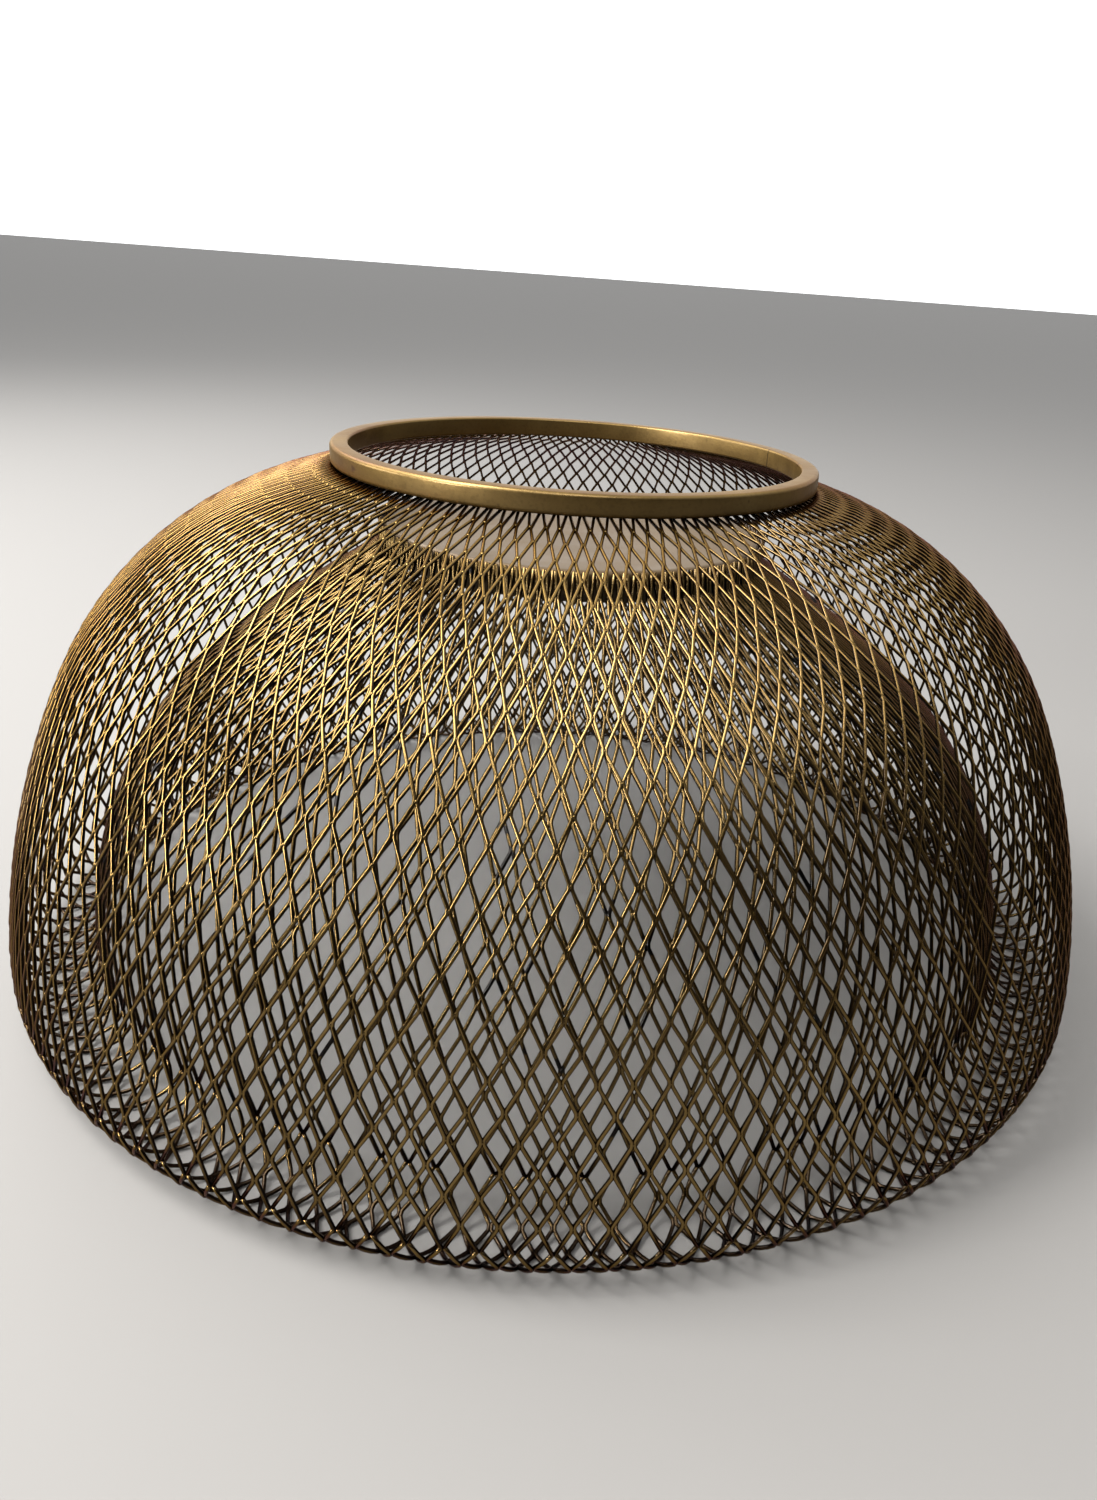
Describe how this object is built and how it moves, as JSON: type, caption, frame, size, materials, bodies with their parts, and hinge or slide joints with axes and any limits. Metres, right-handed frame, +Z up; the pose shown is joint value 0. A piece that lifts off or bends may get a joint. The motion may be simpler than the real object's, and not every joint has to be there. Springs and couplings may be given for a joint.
{
  "type": "wire mesh fruit bowl",
  "caption": "Double-walled round wire-mesh fruit bowl, stored rim down, with a foot ring on top and a plain floor plate between its walls.",
  "frame": {"origin": "centre of the circle on which the rim rests, at the lowest point of the bowl", "axes": "+Z up along the bowl's axis, from the rim to the foot ring; X and Y across it"},
  "size_m": [0.3012, 0.3012, 0.1386],
  "materials": {
    "ring_bronze": "satin antique bronze",
    "wire_bronze": "satin antique gold",
    "plate_bronze": "satin tan bronze"
  },
  "bodies": {
    "root": {"foot_ring": "ring_bronze", "outer_wall_mesh": "wire_bronze", "rim_fold_mesh": "wire_bronze", "inner_wall_mesh": "wire_bronze", "floor_plate": "plate_bronze"}
  },
  "joints": []
}
